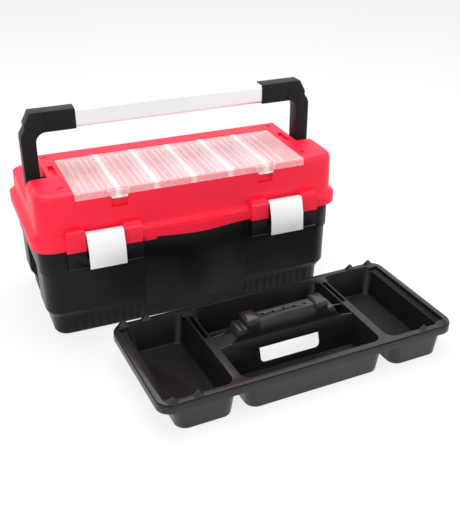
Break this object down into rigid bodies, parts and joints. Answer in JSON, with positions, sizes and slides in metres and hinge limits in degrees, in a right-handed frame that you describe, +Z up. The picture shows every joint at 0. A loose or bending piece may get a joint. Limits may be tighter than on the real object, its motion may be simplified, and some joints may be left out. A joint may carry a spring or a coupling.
{
  "type": "hand-carry tool box",
  "caption": "Hand-carry tool box: moulded tub, hinged lid with a clear-covered organiser, fold-down carrying handle, steel latches and a lift-out tote tray.",
  "frame": {"origin": "on the floor, under the middle of the tub's flat bottom", "axes": "+X along the box to the right of someone facing the latches, +Y from the latches to the hinge, +Z up"},
  "size_m": [0.6204, 0.5597, 0.367],
  "materials": {
    "black_plastic": "fine satin grain",
    "red_plastic": "fine satin grain",
    "tray_plastic": "fine satin grain",
    "clear_plastic": "clear, polished",
    "aluminium_grip": "satin anodised",
    "bright_steel": "bright plated sheet",
    "steel_pin": "drawn wire"
  },
  "bodies": {
    "tub": {"tub": "black_plastic", "hinge_pin_left": "steel_pin", "hinge_pin_right": "steel_pin"},
    "lid": {"lid": "red_plastic", "organiser_divider_1": "clear_plastic", "organiser_divider_2": "clear_plastic", "organiser_divider_3": "clear_plastic", "organiser_divider_4": "clear_plastic", "organiser_divider_5": "clear_plastic", "cover_pin_left": "steel_pin", "cover_pin_right": "steel_pin", "handle_pivot_left": "steel_pin", "handle_pivot_right": "steel_pin", "latch_pin_left": "steel_pin", "latch_pin_right": "steel_pin"},
    "organiser_cover": {"organiser_cover": "clear_plastic"},
    "cover_clip_left": {"cover_clip_left": "clear_plastic"},
    "cover_clip_right": {"cover_clip_right": "clear_plastic"},
    "handle": {"handle_grip": "aluminium_grip", "handle_arm_left": "black_plastic", "handle_arm_right": "black_plastic"},
    "latch_left": {"latch_left": "bright_steel"},
    "latch_right": {"latch_right": "bright_steel"},
    "tote_tray": {"tote_tray": "tray_plastic"}
  },
  "joints": [
    {"name": "lid_hinge", "type": "hinge", "parent": "tub", "child": "lid", "pos_m": [0, 0.1355, 0.167], "axis": [-1, 0, 0], "range_deg": [0, 100]},
    {"name": "cover_hinge", "type": "hinge", "parent": "lid", "child": "organiser_cover", "pos_m": [0, 0.0253, 0.2613], "axis": [-1, 0, 0], "range_deg": [0, 48]},
    {"name": "cover_clip_left_hinge", "type": "hinge", "parent": "organiser_cover", "child": "cover_clip_left", "pos_m": [-0.127, -0.126, 0.2608], "axis": [-1, 0, 0], "range_deg": [0, 60]},
    {"name": "cover_clip_right_hinge", "type": "hinge", "parent": "organiser_cover", "child": "cover_clip_right", "pos_m": [0.127, -0.126, 0.2608], "axis": [-1, 0, 0], "range_deg": [0, 60]},
    {"name": "handle_fold", "type": "hinge", "parent": "lid", "child": "handle", "pos_m": [0, -0.012, 0.244], "axis": [-1, 0, 0], "range_deg": [0, 90]},
    {"name": "latch_left_hinge", "type": "hinge", "parent": "lid", "child": "latch_left", "pos_m": [-0.1585, -0.1345, 0.196], "axis": [-1, 0, 0], "range_deg": [0, 100]},
    {"name": "latch_right_hinge", "type": "hinge", "parent": "lid", "child": "latch_right", "pos_m": [0.1585, -0.1345, 0.196], "axis": [-1, 0, 0], "range_deg": [0, 100]},
    {"name": "tray_lift", "type": "slide", "parent": "tub", "child": "tote_tray", "axis": [0, 0, 1], "range_m": [0, 0.15]}
  ]
}
